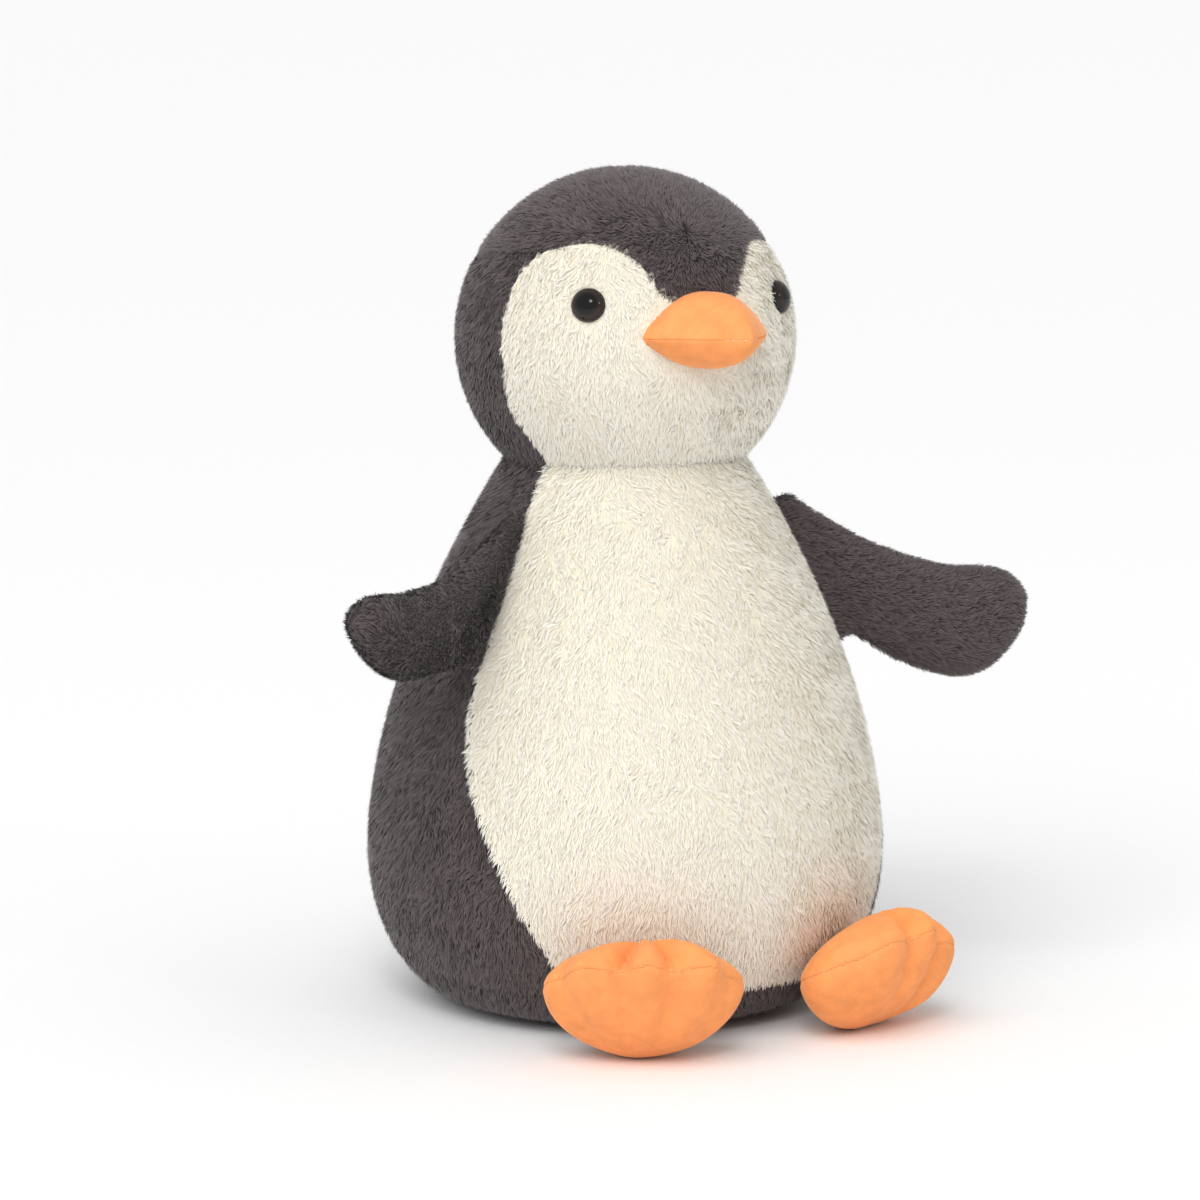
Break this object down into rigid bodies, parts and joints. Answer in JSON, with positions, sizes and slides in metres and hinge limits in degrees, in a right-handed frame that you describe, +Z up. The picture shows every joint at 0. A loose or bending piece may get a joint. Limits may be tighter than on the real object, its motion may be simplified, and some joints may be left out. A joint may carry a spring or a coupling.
{
  "type": "plush penguin",
  "caption": "Sitting soft toy penguin of dark and cream pile fabric, with a turning head, flapping wings, and orange feet and beak.",
  "frame": {"origin": "middle of the flat face that the toy sits on", "axes": "+Z up, the beak faces -Y, and the toy's own left side is at +X"},
  "size_m": [0.4645, 0.3633, 0.5],
  "materials": {
    "dark_plush": "long soft pile",
    "cream_plush": "long soft pile",
    "suedette": "smooth brushed",
    "fibre": "loose fibre filling",
    "pouch_cloth": "plain weave bag of pellets",
    "eye_plastic": "polished",
    "washer_plastic": "moulded"
  },
  "bodies": {
    "torso": {"tummy_panel": "cream_plush", "back_panel_left": "dark_plush", "back_panel_right": "dark_plush", "base_panel": "dark_plush", "body_fill": "fibre", "pellet_pouch": "pouch_cloth"},
    "head": {"face_panel": "cream_plush", "head_fill": "fibre", "crown_panel_right": "dark_plush", "nape_panel_right": "dark_plush", "crown_panel_left": "dark_plush", "nape_panel_left": "dark_plush", "beak_upper": "suedette", "beak_lower": "suedette", "beak_fill": "fibre", "eye_right": "eye_plastic", "eye_washer_right": "washer_plastic", "eye_left": "eye_plastic", "eye_washer_left": "washer_plastic"},
    "wing_right": {"wing_back_panel_right": "dark_plush", "wing_front_panel_right": "dark_plush", "wing_fill_right": "fibre"},
    "foot_right": {"foot_top_right": "suedette", "foot_sole_right": "suedette", "foot_fill_right": "fibre"},
    "wing_left": {"wing_back_panel_left": "dark_plush", "wing_front_panel_left": "dark_plush", "wing_fill_left": "fibre"},
    "foot_left": {"foot_top_left": "suedette", "foot_sole_left": "suedette", "foot_fill_left": "fibre"}
  },
  "joints": [
    {"name": "head_turn", "type": "hinge", "parent": "torso", "child": "head", "pos_m": [0, 0, 0.325], "axis": [0, 0, 1], "range_deg": [-30, 30], "stiffness_Nm_per_rad": 0.5},
    {"name": "wing_right_flap", "type": "hinge", "parent": "torso", "child": "wing_right", "pos_m": [-0.11079, -0.03815, 0.259], "axis": [0.4093, 0.1409, 0.9015], "range_deg": [-45, 45], "stiffness_Nm_per_rad": 0.15},
    {"name": "wing_left_flap", "type": "hinge", "parent": "torso", "child": "wing_left", "pos_m": [0.11079, -0.03815, 0.259], "axis": [-0.4093, 0.1409, 0.9015], "range_deg": [-45, 45], "stiffness_Nm_per_rad": 0.15},
    {"name": "foot_right_lift", "type": "hinge", "parent": "torso", "child": "foot_right", "pos_m": [-0.06142, -0.12594, 0.025], "axis": [-0.8988, 0.4384, 0], "range_deg": [0, 15], "stiffness_Nm_per_rad": 0.1},
    {"name": "foot_left_lift", "type": "hinge", "parent": "torso", "child": "foot_left", "pos_m": [0.06142, -0.12594, 0.025], "axis": [-0.8988, -0.4384, 0], "range_deg": [0, 15], "stiffness_Nm_per_rad": 0.1}
  ]
}
